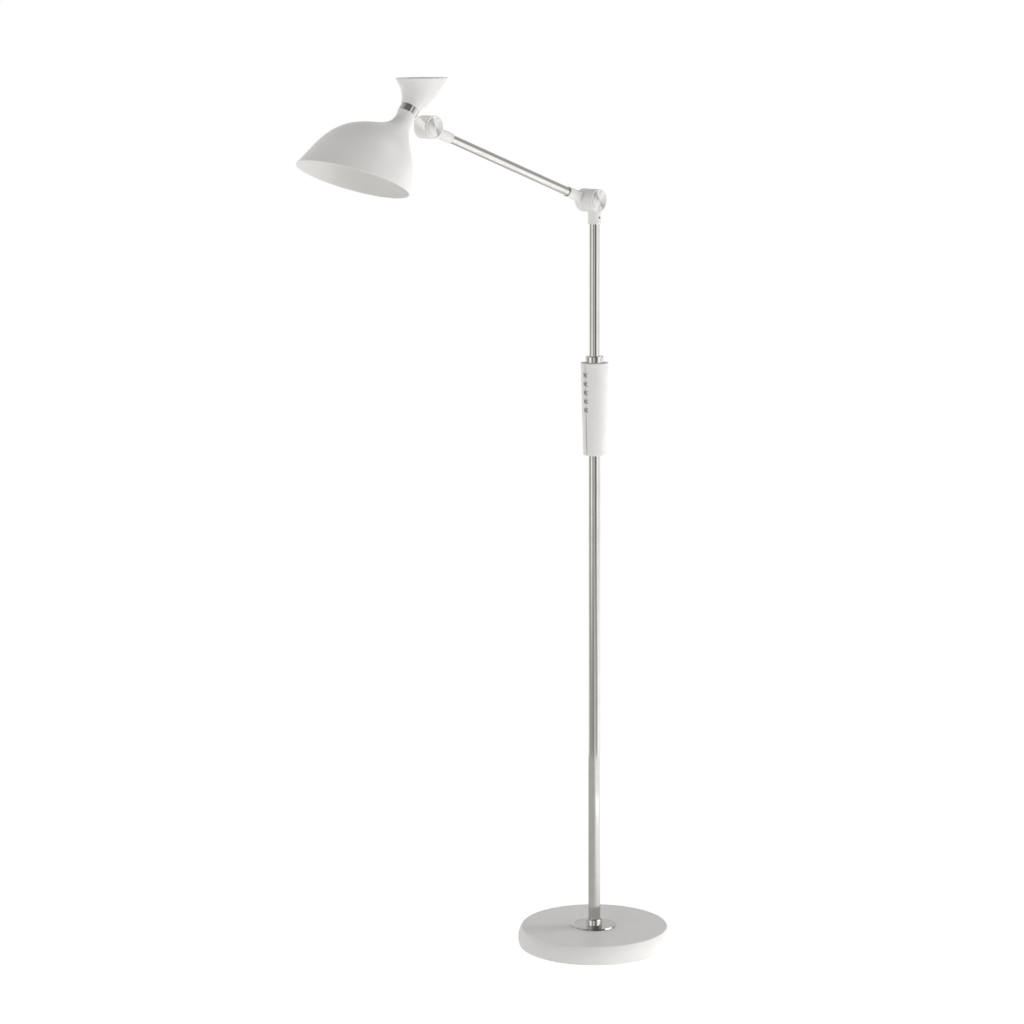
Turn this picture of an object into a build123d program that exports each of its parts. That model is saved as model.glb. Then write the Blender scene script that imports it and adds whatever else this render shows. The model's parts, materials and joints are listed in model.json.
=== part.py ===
"""Adjustable arm floor lamp. Millimetres, +Z up, origin at the middle of the base's underside.

The lamp's front is -X and its joint pins lie along Y. The round base carries a telescopic pole, whose
upper tube turns and slides in a collar. A tilting arm and a tilting two-part shade follow.
"""

from build123d import *
from math import cos, radians, sin
import os

# ---- fits -------------------------------------------------------------------------------------------
slip = 0.05            # radial clearance of fitted and running round pieces
air = 0.3              # gap between pieces that move past each other without a fit
seat_gap = 0.1         # gap between flat faces that turn on each other
overcut = 1.0          # how far a cut runs past the face that it opens

# ---- base -------------------------------------------------------------------------------------------
base_height = 31.0
base_radius = 127.0
base_bulge_z = 10.0          # height at which the base is widest
base_top_inset = 6.0         # edge of the flat top, inside the widest part
base_foot_inset = 1.7        # lower edge, inside the widest part
base_rim_z = 1.0             # the cover's lower edge, just above the floor
base_top_edge = 0.8          # rounding where the flat top meets the side
cover_wall = 2.0             # thickness of the cover's top
cover_skirt = 4.5            # thickness of the cover's side
pad_thickness = 2.0
pad_inset = 11.0             # the pad's edge, inside the widest part of the base
pad_bevel = 0.4
plate_thickness = 2.0
plate_screws = 3
plate_screw_inset = 35.0     # the screws' circle, inside the widest part of the base
plate_screw_radius = 2.5
plate_screw_head_radius = 5.0
plate_screw_length = 14.0
disc_radius = 36.0           # polished disc in the middle of the base
disc_thickness = 2.4
disc_bevel = 1.4
foot_collar_wall = 3.2
foot_collar_height = 9.6
foot_collar_chamfer = 1.0

# ---- cord inlet at the back of the base ---------------------------------------------------------------
inlet_z = 14.0
inlet_bore_radius = 3.4
inlet_body_radius = 5.0
inlet_flange_radius = 7.0
inlet_flange_thickness = 3.0
inlet_flange_edge = 1.0
inlet_tail = 2.0             # length of the bushing that reaches into the weight's slot
inlet_spot_depth = 2.5       # depth of the flat cut into the cover's bulging side

# ---- foot of the pole ---------------------------------------------------------------------------------
stud_radius = 5.0
stud_bore_radius = 2.6
stud_end = 1.0               # length of the stud below its nut
foot_plug_height = 24.0
nut_across_flats = 17.0
nut_thickness = 8.0
washer_radius = 14.0
washer_thickness = 2.0
foot_pocket_radius = 17.0    # pocket under the weight for the nut and its washer

# ---- telescopic pole ----------------------------------------------------------------------------------
lower_pole_radius = 10.0
lower_pole_wall = 0.8
upper_pole_wall = 1.2
upper_pole_foot_z = 790.0
guide_length = 14.0
guide_spigot = 12.0
guide_bore_radius = 4.5
guide_bevel = 0.8

# ---- leather grip -------------------------------------------------------------------------------------
grip_bottom_z = 824.5
grip_top_z = 975.5
grip_bottom_radius = 18.3
grip_top_radius = 22.65
leather_thickness = 2.0
seam_width = 0.7             # laced upper part of the front seam
slit_width = 1.9             # open lower part of the front seam
slit_top_z = 892.0
lace_count = 5
lace_first_z = 956.4
lace_pitch = 14.35
lace_radius = 0.75
lace_half_width = 3.1
lace_half_height = 2.9

# ---- height collar ------------------------------------------------------------------------------------
collar_wall = 5.0
collar_height = 10.2
collar_gap = 0.4             # between the grip and the collar
collar_skirt = 4.8           # length that turns on the lower pole
collar_bush_height = 3.6
collar_bush_wall = 3.5
collar_chamfer = 0.8

# ---- elbow --------------------------------------------------------------------------------------------
elbow_z = 1237.0
arm_y = 19.5                 # the arm lies this far behind the pole's plane
elbow_radius = 18.5
elbow_post_width = 20.1
elbow_edge = 4.5             # rounding of the far end
elbow_near_edge = 1.2
post_socket_wall = 2.1
post_socket_bottom_z = 1199.6
post_bevel = 0.6
post_seat_depth = 17.5
elbow_cap_radius = 16.4
elbow_cap_thickness = 2.4
cap_proud = 0.7
cap_bevel = 0.8
cap_land = 0.5               # flat ring between a far cap and its knuckle's rounded edge
elbow_pin_radius = 4.0
elbow_pocket_radius = 12.5
elbow_nut_flats = 13.0
elbow_nut_thickness = 4.0
elbow_bolt_head = 5.0
elbow_spring_thickness = 1.2
elbow_spring_radius = 9.0
pocket_floor = 10.0          # thickness of a lobe's wall that the pin runs in
friction_washer_radius = 13.0
friction_washer_thickness = 1.2
set_screw_z = 1210.0
set_screw_radius = 2.0
set_screw_socket_depth = 1.2

# ---- arm ----------------------------------------------------------------------------------------------
arm_elevation = 19.9
arm_length = 377.5           # from the elbow's pin to the head's pin
arm_tube_radius = 7.0
arm_tube_wall = 1.0
rear_socket_length = 45.2
front_socket_length = 55.9
front_root_wall = 1.0        # the front socket's taper, over the tube, where it meets its knuckle
socket_root_wall = 2.3
socket_tip_wall = 1.3
socket_seat_depth = 20.0
end_ring_length = 1.4
end_ring_wall = 1.1
arm_screw_inset = 8.0

# ---- head joint ---------------------------------------------------------------------------------------
head_joint_radius = 17.9
head_arm_land = 0.2          # the arm's lobe is wider than its socket by this much on each side
head_lobe_width = 13.6
head_edge = 3.5
head_cap_radius = 15.3
head_cap_thickness = 2.2
head_pin_radius = 3.0
head_pocket_radius = 9.0
head_nut_flats = 10.0
head_nut_thickness = 3.4
head_bolt_head = 3.4
head_floor = 7.0

# ---- neck and shades ----------------------------------------------------------------------------------
neck_ahead = 49.04           # middle of the neck ring, ahead of the head's pin
neck_above = 26.0
neck_tilt = 37.6             # the neck leans back from the vertical by this angle
neck_radius = 15.0
neck_ring_length = 11.6
neck_ring_wall = 1.6
shade_wall = 1.5
shade_lip = 0.5              # rounding of the shades' open edges
stem_width = 9.0
stem_height = 9.0
stem_edge = 2.0
spigot_radius = 3.0
spigot_depth = 6.0
bell_mouth_ahead = 114.8     # middle of the bell's mouth, from the middle of the neck ring
bell_mouth_below = 98.0
bell_mouth_half_length = 88.5
bell_mouth_half_width = 86.8
bell_mouth_tilt = 21.1
cone_rim_behind = 28.5       # middle of the cone's rim, from the middle of the neck ring
cone_rim_above = 49.2
cone_rim_radius = 41.0

# ---- lamp holder and bulb -----------------------------------------------------------------------------
nipple_radius = 5.0
nipple_bore_radius = 3.4
nipple_above = 9.0
holder_start = 22.0          # distances along the neck's axis from the bell's top
holder_length = 33.0
holder_radius = 13.5
holder_flange_radius = 15.5
holder_flange_thickness = 4.0
bulb_cap_radius = 6.8
bulb_cap_length = 23.0
bulb_cap_room = 1.0          # free length behind the bulb's cap
bulb_neck_radius = 8.5
bulb_radius = 17.5
bulb_length = 41.0           # glass, from the holder's lip
nipple_nut_flats = 14.0
nipple_nut_thickness = 3.0

# ---- worked out from the sizes above ------------------------------------------------------------------
base_top_radius = base_radius - base_top_inset
base_foot_radius = base_radius - base_foot_inset
pad_radius = base_radius - pad_inset
plate_screw_circle = base_radius - plate_screw_inset
plate_z = pad_thickness
weight_z = plate_z + plate_thickness
weight_top_z = base_height - cover_wall
weight_radius = base_foot_radius - cover_skirt
disc_top_z = base_height + disc_thickness
lead_slot_width = 2 * (inlet_body_radius + air)
pocket_top_z = inlet_z + inlet_body_radius + air
stud_bottom_z = pocket_top_z - washer_thickness - nut_thickness - stud_end
foot_collar_radius = lower_pole_radius + foot_collar_wall
lower_bore = lower_pole_radius - lower_pole_wall
upper_pole_radius = lower_bore - air
upper_bore = upper_pole_radius - upper_pole_wall
collar_radius = lower_pole_radius + collar_wall
collar_bush_radius = upper_pole_radius + collar_bush_wall
collar_z = grip_top_z + collar_gap
lower_pole_top_z = collar_z + collar_skirt - air
post_socket_radius = upper_pole_radius + post_socket_wall
post_seat_z = post_socket_bottom_z + post_seat_depth
socket_root_radius = arm_tube_radius + socket_root_wall
socket_tip_radius = arm_tube_radius + socket_tip_wall
front_root_radius = arm_tube_radius + front_root_wall
end_ring_radius = arm_tube_radius + end_ring_wall
elbow_arm_width = 2 * socket_root_radius
elbow_arm_y0 = arm_y - elbow_arm_width / 2
elbow_arm_y1 = arm_y + elbow_arm_width / 2
elbow_post_y1 = elbow_arm_y0 - air
elbow_post_y0 = elbow_post_y1 - elbow_post_width
post_floor_y = elbow_post_y1 - pocket_floor
post_shoulder_z = elbow_z - elbow_radius - air
elbow_far_cap_radius = elbow_radius - elbow_edge - cap_land
head_far_cap_radius = head_joint_radius - head_edge - cap_land
arm_cos = cos(radians(arm_elevation))
arm_sin = sin(radians(arm_elevation))
head_x = -arm_length * arm_cos
head_z = elbow_z + arm_length * arm_sin
head_arm_width = 2 * (front_root_radius + head_arm_land)
head_arm_y0 = arm_y - head_arm_width / 2
head_arm_y1 = arm_y + head_arm_width / 2
head_lobe_y1 = head_arm_y0 - air
head_lobe_y0 = head_lobe_y1 - head_lobe_width
head_y = (head_lobe_y0 + head_lobe_y1) / 2
neck_x = head_x - neck_ahead
neck_z = head_z + neck_above
neck_cos = cos(radians(neck_tilt))
neck_sin = sin(radians(neck_tilt))
neck_ring_radius = neck_radius - air
half_ring = neck_ring_length / 2
bell_mouth_x = neck_x - bell_mouth_ahead
bell_mouth_z = neck_z - bell_mouth_below
cone_rim_x = neck_x + cone_rim_behind
cone_rim_z = neck_z + cone_rim_above


def across(y):
    """Plane at this Y whose normal points to -Y, with local x along +X and local y along +Z."""
    return Plane(origin=(0, y, 0), x_dir=(1, 0, 0), z_dir=(0, -1, 0))


def along_arm(distance):
    """Plane square to the arm at a distance from the elbow's pin, facing the head."""
    place = (-distance * arm_cos, arm_y, elbow_z + distance * arm_sin)
    return Plane(origin=place, x_dir=(0, 1, 0), z_dir=(-arm_cos, 0, arm_sin))


def neck_point(distance):
    """Point on the neck's axis, measured upward from the middle of the neck ring."""
    return (neck_x + distance * neck_sin, head_y, neck_z + distance * neck_cos)


def neck_plane(distance):
    """Plane square to the neck's axis, facing up, with local x along +X and down."""
    return Plane(origin=neck_point(distance), x_dir=(neck_cos, 0, -neck_sin),
                 z_dir=(neck_sin, 0, neck_cos))


def bell_plane(distance):
    """Plane square to the neck's axis, facing down into the bell, from the bell's top."""
    return Plane(origin=neck_point(-half_ring - distance), x_dir=(neck_cos, 0, -neck_sin),
                 z_dir=(-neck_sin, 0, -neck_cos))


def slanted(x, z, fall):
    """Plane of a shade's section: level along Y, with its back lower than its front by an angle."""
    return Plane(origin=(x, head_y, z), x_dir=(cos(radians(fall)), 0, -sin(radians(fall))),
                 z_dir=(sin(radians(fall)), 0, cos(radians(fall))))


def edges_on(part, plane):
    """Edges of a part that lie wholly on a plane."""
    return [edge for edge in part.edges()
            if all(abs((edge @ share - plane.origin).dot(plane.z_dir)) < slip for share in (0, 0.5, 1))]


def hexagon(flats):
    """Nut outline of a size across flats, in the sketch that is open."""
    RegularPolygon(radius=flats / 2, side_count=6, major_radius=False)


os.makedirs("parts", exist_ok=True)


def save(part, label):
    """Names a finished piece and writes it as a STEP file."""
    part.label = label
    export_step(part, f"parts/{label}.step")


# ================================ base ================================================================

with BuildPart() as base_cover:
    with BuildSketch(Plane.XZ):
        with BuildLine():
            Line((0, base_height), (base_top_radius, base_height))
            ThreePointArc((base_top_radius, base_height), (base_radius, base_bulge_z),
                          (base_foot_radius, base_rim_z))
            Line((base_foot_radius, base_rim_z), (weight_radius + slip, base_rim_z))
            Line((weight_radius + slip, base_rim_z), (weight_radius + slip, weight_top_z))
            Line((weight_radius + slip, weight_top_z), (0, weight_top_z))
            Line((0, weight_top_z), (0, base_height))
        make_face()
    revolve(axis=Axis.Z)
    fillet(base_cover.edges().group_by(Axis.Z)[-1].sort_by(SortBy.RADIUS)[-1], base_top_edge)
    with BuildSketch(Plane.XY.offset(weight_top_z)):
        Circle(stud_radius + slip)
    extrude(amount=cover_wall, mode=Mode.SUBTRACT)
    with BuildSketch(Plane.YZ.offset(base_radius - inlet_spot_depth)):
        with Locations((0, inlet_z)):
            Circle(inlet_flange_radius + slip)
    extrude(amount=inlet_spot_depth + overcut, mode=Mode.SUBTRACT)
    with BuildSketch(Plane.YZ.offset(weight_radius - overcut)):
        with Locations((0, inlet_z)):
            Circle(inlet_body_radius + slip)
    extrude(amount=base_radius - weight_radius, mode=Mode.SUBTRACT)
save(base_cover.part, "base_cover")

with BuildPart() as base_weight:
    with BuildSketch(Plane.XY.offset(weight_z)):
        Circle(weight_radius)
        Circle(stud_radius + slip, mode=Mode.SUBTRACT)
    extrude(amount=weight_top_z - weight_z)
    with BuildSketch(Plane.XY.offset(weight_z)):
        Circle(foot_pocket_radius)
        with Locations((weight_radius / 2 + overcut, 0)):
            Rectangle(weight_radius + 2 * overcut, lead_slot_width)
    extrude(amount=pocket_top_z - weight_z, mode=Mode.SUBTRACT)
    with BuildSketch(Plane.XY.offset(weight_z)):
        with PolarLocations(plate_screw_circle, plate_screws, start_angle=180):
            Circle(plate_screw_radius + slip)
    extrude(amount=plate_screw_length, mode=Mode.SUBTRACT)
save(base_weight.part, "base_weight")

with BuildPart() as base_plate:
    with BuildSketch(Plane.XY.offset(plate_z)):
        Circle(weight_radius)
    extrude(amount=plate_thickness)
    with PolarLocations(plate_screw_circle, plate_screws, start_angle=180):
        with Locations(Plane.XY.offset(plate_z)):
            Cone(plate_screw_head_radius + slip, plate_screw_radius + slip, plate_thickness,
                 align=(Align.CENTER, Align.CENTER, Align.MIN), mode=Mode.SUBTRACT)
save(base_plate.part, "base_plate")

with BuildPart() as base_pad:
    with BuildSketch(Plane.XY):
        Circle(pad_radius)
    extrude(amount=pad_thickness)
    chamfer(base_pad.edges().group_by(Axis.Z)[0], pad_bevel)
save(base_pad.part, "base_pad")

with BuildPart() as base_screws:
    with BuildSketch(Plane.XY.offset(plate_z)):
        with PolarLocations(plate_screw_circle, plate_screws, start_angle=180):
            Circle(plate_screw_radius)
    extrude(amount=plate_screw_length)
    with PolarLocations(plate_screw_circle, plate_screws, start_angle=180):
        with Locations(Plane.XY.offset(plate_z)):
            Cone(plate_screw_head_radius, plate_screw_radius, plate_thickness,
                 align=(Align.CENTER, Align.CENTER, Align.MIN))
save(base_screws.part, "base_screws")

with BuildPart() as cord_bushing:
    with BuildSketch(Plane.YZ.offset(weight_radius - inlet_tail)):
        with Locations((0, inlet_z)):
            Circle(inlet_body_radius)
    extrude(amount=base_radius - inlet_spot_depth - weight_radius + inlet_tail)
    with BuildSketch(Plane.YZ.offset(base_radius - inlet_spot_depth)):
        with Locations((0, inlet_z)):
            Circle(inlet_flange_radius)
    extrude(amount=inlet_flange_thickness)
    fillet(cord_bushing.edges().group_by(Axis.X)[-1], inlet_flange_edge)
    with BuildSketch(Plane.YZ.offset(weight_radius - inlet_tail)):
        with Locations((0, inlet_z)):
            Circle(inlet_bore_radius)
    extrude(amount=base_radius, mode=Mode.SUBTRACT)
save(cord_bushing.part, "cord_bushing")

with BuildPart() as pole_flange:
    with BuildSketch(Plane.XY.offset(base_height)):
        Circle(disc_radius)
        Circle(stud_radius + slip, mode=Mode.SUBTRACT)
    extrude(amount=disc_thickness)
    chamfer(pole_flange.edges().group_by(Axis.Z)[-1].sort_by(SortBy.RADIUS)[-1], disc_bevel)
save(pole_flange.part, "pole_flange")

with BuildPart() as foot_collar:
    with BuildSketch(Plane.XY.offset(disc_top_z)):
        Circle(foot_collar_radius)
        Circle(lower_pole_radius + slip, mode=Mode.SUBTRACT)
    extrude(amount=foot_collar_height)
    chamfer(foot_collar.edges().group_by(Axis.Z)[-1].sort_by(SortBy.RADIUS)[-1], foot_collar_chamfer)
save(foot_collar.part, "foot_collar")

with BuildPart() as foot_washer:
    with BuildSketch(Plane.XY.offset(pocket_top_z - washer_thickness)):
        Circle(washer_radius)
        Circle(stud_radius + slip, mode=Mode.SUBTRACT)
    extrude(amount=washer_thickness)
save(foot_washer.part, "foot_washer")

with BuildPart() as foot_nut:
    with BuildSketch(Plane.XY.offset(pocket_top_z - washer_thickness - nut_thickness)):
        hexagon(nut_across_flats)
        Circle(stud_radius + slip, mode=Mode.SUBTRACT)
    extrude(amount=nut_thickness)
save(foot_nut.part, "foot_nut")

with BuildPart() as foot_stud:
    with BuildSketch(Plane.XY.offset(stud_bottom_z)):
        Circle(stud_radius)
        Circle(stud_bore_radius, mode=Mode.SUBTRACT)
    extrude(amount=disc_top_z + foot_plug_height / 2 - stud_bottom_z)
save(foot_stud.part, "foot_stud")

with BuildPart() as foot_plug:
    with BuildSketch(Plane.XY.offset(disc_top_z)):
        Circle(lower_bore - slip)
        Circle(stud_bore_radius, mode=Mode.SUBTRACT)
    extrude(amount=foot_plug_height)
    with BuildSketch(Plane.XY.offset(disc_top_z)):
        Circle(stud_radius + slip)
    extrude(amount=foot_plug_height / 2, mode=Mode.SUBTRACT)
save(foot_plug.part, "foot_plug")

with BuildPart() as lower_pole:
    with BuildSketch(Plane.XY.offset(disc_top_z)):
        Circle(lower_pole_radius)
        Circle(lower_bore, mode=Mode.SUBTRACT)
    extrude(amount=lower_pole_top_z - disc_top_z)
save(lower_pole.part, "lower_pole")

# ================================ leather grip ==========================================================

grip_height = grip_top_z - grip_bottom_z


def grip_radius(z):
    """Outer radius of the leather at a height: the grip widens evenly towards its top."""
    return grip_bottom_radius + (grip_top_radius - grip_bottom_radius) * (z - grip_bottom_z) / grip_height


def lace_x(z):
    """X of a lace's centre line, just clear of the leather above and below this height."""
    return -grip_radius(z + lace_half_height) - lace_radius - slip


with BuildPart() as grip_core:
    with BuildSketch(Plane.XY.offset(grip_bottom_z)):
        Circle(grip_bottom_radius - leather_thickness)
    with BuildSketch(Plane.XY.offset(grip_top_z)):
        Circle(grip_top_radius - leather_thickness)
    loft()
    with BuildSketch(Plane.XY.offset(grip_bottom_z)):
        Circle(lower_pole_radius + slip)
    extrude(amount=grip_height, mode=Mode.SUBTRACT)
save(grip_core.part, "grip_core")

with BuildPart() as grip_leather:
    with BuildSketch(Plane.XY.offset(grip_bottom_z)):
        Circle(grip_bottom_radius)
    with BuildSketch(Plane.XY.offset(grip_top_z)):
        Circle(grip_top_radius)
    loft()
    with BuildSketch(Plane.XY.offset(grip_bottom_z)):
        Circle(grip_bottom_radius - leather_thickness + slip)
    with BuildSketch(Plane.XY.offset(grip_top_z)):
        Circle(grip_top_radius - leather_thickness + slip)
    loft(mode=Mode.SUBTRACT)
    with BuildSketch(Plane.XY.offset(grip_bottom_z)):
        with Locations((-grip_top_radius / 2, 0)):
            Rectangle(grip_top_radius + 2 * overcut, slit_width)
    extrude(amount=slit_top_z - grip_bottom_z, mode=Mode.SUBTRACT)
    with BuildSketch(Plane.XY.offset(slit_top_z)):
        with Locations((-grip_top_radius / 2, 0)):
            Rectangle(grip_top_radius + 2 * overcut, seam_width)
    extrude(amount=grip_top_z - slit_top_z, mode=Mode.SUBTRACT)
save(grip_leather.part, "grip_leather")

with BuildPart() as grip_lacing:
    for lace in range(lace_count):
        lace_z = lace_first_z - lace * lace_pitch
        for side in (-1, 1):
            low = Vector(lace_x(lace_z), -side * lace_half_width, lace_z - lace_half_height)
            high = Vector(lace_x(lace_z), side * lace_half_width, lace_z + lace_half_height)
            with BuildSketch(Plane(origin=low, z_dir=high - low)):
                Circle(lace_radius)
            extrude(amount=(high - low).length)
save(grip_lacing.part, "grip_lacing")

# ================================ height collar =========================================================

with BuildPart() as height_collar:
    with BuildSketch(Plane.XY.offset(collar_z)):
        Circle(collar_radius)
        Circle(upper_pole_radius + air, mode=Mode.SUBTRACT)
    extrude(amount=collar_height)
    with BuildSketch(Plane.XY.offset(collar_z)):
        Circle(lower_pole_radius + slip)
    extrude(amount=collar_skirt, mode=Mode.SUBTRACT)
    with BuildSketch(Plane.XY.offset(collar_z + collar_skirt)):
        Circle(collar_bush_radius + slip)
    extrude(amount=collar_bush_height, mode=Mode.SUBTRACT)
    chamfer(height_collar.edges().group_by(Axis.Z)[-1].sort_by(SortBy.RADIUS)[-1], collar_chamfer)
save(height_collar.part, "height_collar")

with BuildPart() as collar_bush:
    with BuildSketch(Plane.XY.offset(collar_z + collar_skirt)):
        Circle(collar_bush_radius)
        Circle(upper_pole_radius + slip, mode=Mode.SUBTRACT)
    extrude(amount=collar_bush_height)
save(collar_bush.part, "collar_bush")

# ================================ upper pole and elbow post =============================================

with BuildPart() as upper_pole:
    with BuildSketch(Plane.XY.offset(upper_pole_foot_z)):
        Circle(upper_pole_radius)
        Circle(upper_bore, mode=Mode.SUBTRACT)
    extrude(amount=post_seat_z - upper_pole_foot_z)
save(upper_pole.part, "upper_pole")

with BuildPart() as slide_guide:
    with BuildSketch(Plane.XY.offset(upper_pole_foot_z - guide_length)):
        Circle(lower_bore - slip)
    extrude(amount=guide_length)
    with BuildSketch(Plane.XY.offset(upper_pole_foot_z)):
        Circle(upper_bore - slip)
    extrude(amount=guide_spigot)
    with BuildSketch(Plane.XY.offset(upper_pole_foot_z - guide_length)):
        Circle(guide_bore_radius)
    extrude(amount=guide_length + guide_spigot, mode=Mode.SUBTRACT)
    chamfer(slide_guide.edges().group_by(Axis.Z)[0].sort_by(SortBy.RADIUS)[-1], guide_bevel)
save(slide_guide.part, "slide_guide")

with BuildPart() as elbow_post:
    with BuildSketch(across(elbow_post_y1)):
        with Locations((0, elbow_z)):
            Circle(elbow_radius)
    extrude(amount=elbow_post_width)
    fillet(elbow_post.edges().group_by(Axis.Y)[0], elbow_near_edge)
    with BuildSketch(Plane.XY.offset(post_socket_bottom_z)):
        Circle(post_socket_radius)
    extrude(amount=post_shoulder_z - post_socket_bottom_z)
    with BuildSketch(Plane.XY.offset(post_shoulder_z)):
        Circle(post_socket_radius)
        with Locations((0, (elbow_post_y0 + elbow_post_y1) / 2)):
            Rectangle(2 * post_socket_radius, elbow_post_width, mode=Mode.INTERSECT)
    extrude(amount=elbow_radius / 2)
    chamfer(elbow_post.edges().group_by(Axis.Z)[0], post_bevel)
    with BuildSketch(Plane.XY.offset(post_socket_bottom_z)):
        Circle(upper_pole_radius + slip)
    extrude(amount=post_seat_depth, mode=Mode.SUBTRACT)
    with BuildSketch(across(elbow_post_y0 + elbow_cap_thickness - cap_proud)):
        with Locations((0, elbow_z)):
            Circle(elbow_cap_radius + slip)
    extrude(amount=elbow_cap_thickness, mode=Mode.SUBTRACT)
    with BuildSketch(across(post_floor_y)):
        with Locations((0, elbow_z)):
            Circle(elbow_pocket_radius)
    extrude(amount=elbow_post_width, mode=Mode.SUBTRACT)
    with BuildSketch(across(elbow_post_y1)):
        with Locations((0, elbow_z)):
            Circle(friction_washer_radius + slip)
    extrude(amount=friction_washer_thickness - air + seat_gap, mode=Mode.SUBTRACT)
    with BuildSketch(across(elbow_post_y1)):
        with Locations((0, elbow_z)):
            Circle(elbow_pin_radius + slip)
    extrude(amount=elbow_post_width, mode=Mode.SUBTRACT)
    with BuildSketch(across(0)):
        with Locations((0, set_screw_z)):
            Circle(set_screw_radius + slip)
    extrude(amount=post_socket_radius + overcut, mode=Mode.SUBTRACT)
save(elbow_post.part, "elbow_post")

with BuildPart() as elbow_set_screw:
    with BuildSketch(across(-upper_pole_radius)):
        with Locations((0, set_screw_z)):
            Circle(set_screw_radius)
    extrude(amount=post_socket_radius - upper_pole_radius)
    with BuildSketch(across(-post_socket_radius)):
        with Locations((0, set_screw_z)):
            hexagon(set_screw_radius)
    extrude(amount=-set_screw_socket_depth, mode=Mode.SUBTRACT)
save(elbow_set_screw.part, "elbow_set_screw")


def round_cap(radius, thickness, x, z, y_outer, facing):
    """Flat turned disc with a bevelled rim: its outer face is at y_outer, facing -Y (-1) or +Y (1)."""
    with BuildPart(mode=Mode.PRIVATE) as cap:
        with BuildSketch(Plane(origin=(x, y_outer, z), x_dir=(1, 0, 0), z_dir=(0, -facing, 0))):
            Circle(radius)
        extrude(amount=thickness)
        chamfer(cap.edges().sort_by(Axis.Y)[-1 if facing > 0 else 0], cap_bevel)
    return cap.part


with BuildPart() as elbow_cap_near:
    add(round_cap(elbow_cap_radius, elbow_cap_thickness, 0, elbow_z, elbow_post_y0 - cap_proud, -1))
save(elbow_cap_near.part, "elbow_cap_near")

with BuildPart() as elbow_friction_washer:
    with BuildSketch(across(elbow_arm_y0 - seat_gap)):
        with Locations((0, elbow_z)):
            Circle(friction_washer_radius)
            Circle(elbow_pin_radius + slip, mode=Mode.SUBTRACT)
    extrude(amount=friction_washer_thickness)
save(elbow_friction_washer.part, "elbow_friction_washer")

# ================================ arm ===================================================================

elbow_head_pocket_y = elbow_arm_y1 - elbow_cap_thickness + cap_proud

with BuildPart() as elbow_knuckle:
    with BuildSketch(across(elbow_arm_y1)):
        with Locations((0, elbow_z)):
            Circle(elbow_radius)
    extrude(amount=elbow_arm_width)
    fillet(elbow_knuckle.edges().group_by(Axis.Y)[-1], elbow_edge)
    with BuildSketch(along_arm(elbow_radius / 2)):
        Circle(socket_root_radius)
    with BuildSketch(along_arm(rear_socket_length)):
        Circle(socket_tip_radius)
    loft()
    with BuildSketch(along_arm(rear_socket_length - socket_seat_depth)):
        Circle(arm_tube_radius + slip)
    extrude(amount=socket_seat_depth, mode=Mode.SUBTRACT)
    with BuildSketch(across(elbow_arm_y1)):
        with Locations((0, elbow_z)):
            Circle(elbow_far_cap_radius)
    extrude(amount=elbow_cap_thickness - cap_proud, mode=Mode.SUBTRACT)
    with BuildSketch(across(elbow_arm_y1)):
        with Locations((0, elbow_z)):
            Circle(elbow_nut_flats / 2 + slip)
    extrude(amount=elbow_cap_thickness - cap_proud + elbow_bolt_head, mode=Mode.SUBTRACT)
    with BuildSketch(across(elbow_arm_y1)):
        with Locations((0, elbow_z)):
            Circle(elbow_pin_radius + slip)
    extrude(amount=elbow_arm_width, mode=Mode.SUBTRACT)
    with BuildSketch(along_arm(rear_socket_length - arm_screw_inset).rotated((0, 90, 0))):
        Circle(set_screw_radius + slip)
    extrude(amount=socket_root_radius + overcut, mode=Mode.SUBTRACT)
save(elbow_knuckle.part, "elbow_knuckle")

elbow_nut_y1 = post_floor_y - seat_gap - elbow_spring_thickness
elbow_nut_y0 = elbow_nut_y1 - elbow_nut_thickness

with BuildPart() as elbow_pin:
    with BuildSketch(across(elbow_head_pocket_y)):
        with Locations((0, elbow_z)):
            Circle(elbow_nut_flats / 2)
    extrude(amount=elbow_bolt_head)
    with BuildSketch(across(elbow_head_pocket_y)):
        with Locations((0, elbow_z)):
            Circle(elbow_pin_radius)
    extrude(amount=elbow_head_pocket_y - elbow_nut_y0)
save(elbow_pin.part, "elbow_pin")

with BuildPart() as elbow_spring_washer:
    with BuildSketch(across(post_floor_y - seat_gap)):
        with Locations((0, elbow_z)):
            Circle(elbow_spring_radius)
            Circle(elbow_pin_radius + slip, mode=Mode.SUBTRACT)
    extrude(amount=elbow_spring_thickness)
save(elbow_spring_washer.part, "elbow_spring_washer")

with BuildPart() as elbow_nut:
    with BuildSketch(across(elbow_nut_y1)):
        with Locations((0, elbow_z)):
            hexagon(elbow_nut_flats)
            Circle(elbow_pin_radius + slip, mode=Mode.SUBTRACT)
    extrude(amount=elbow_nut_thickness)
save(elbow_nut.part, "elbow_nut")

with BuildPart() as elbow_cap_far:
    add(round_cap(elbow_far_cap_radius - slip, elbow_cap_thickness, 0, elbow_z,
                  elbow_arm_y1 + cap_proud, 1))
save(elbow_cap_far.part, "elbow_cap_far")

tube_start = rear_socket_length - socket_seat_depth
tube_end = arm_length - front_socket_length + socket_seat_depth

with BuildPart() as arm_tube:
    with BuildSketch(along_arm(tube_start)):
        Circle(arm_tube_radius)
        Circle(arm_tube_radius - arm_tube_wall, mode=Mode.SUBTRACT)
    extrude(amount=tube_end - tube_start)
save(arm_tube.part, "arm_tube")

with BuildPart() as arm_end_rings:
    for ring_start in (rear_socket_length, arm_length - front_socket_length - end_ring_length):
        with BuildSketch(along_arm(ring_start)):
            Circle(end_ring_radius)
            Circle(arm_tube_radius + slip, mode=Mode.SUBTRACT)
        extrude(amount=end_ring_length)
save(arm_end_rings.part, "arm_end_rings")

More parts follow.
